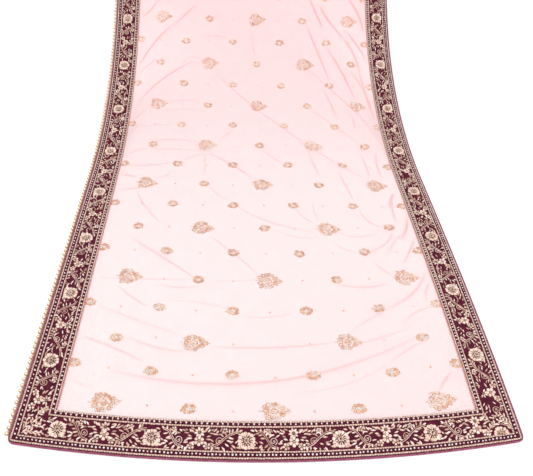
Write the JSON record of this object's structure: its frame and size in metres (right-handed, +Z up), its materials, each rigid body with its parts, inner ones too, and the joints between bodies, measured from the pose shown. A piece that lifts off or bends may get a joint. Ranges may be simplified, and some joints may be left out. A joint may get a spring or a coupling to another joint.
{
  "type": "dupatta stole",
  "caption": "Sheer net dupatta stole with embroidered velvet borders, satin piping and a beaded edge, laid out with one soft wave.",
  "frame": {"origin": "on the surface, under the middle of the whole box", "axes": "+Y along the stole from the near hem to the far hem, +X across it to the right, +Z up; the bead edging is on -X"},
  "size_m": [0.969, 2.2946, 0.3307],
  "materials": {
    "net": "sheer soft pink net",
    "velvet": "deep wine velvet",
    "satin": "mauve wine satin",
    "bead": "gold and pearl beads",
    "zari": "champagne gold metal thread"
  },
  "bodies": {
    "root": {"net_ground": "net", "border_near": "velvet", "border_far": "velvet", "border_left": "velvet", "border_right": "velvet", "piping_near": "satin", "piping_far": "satin", "piping_left": "satin", "piping_right": "satin", "bead_edging": "bead"}
  },
  "joints": []
}
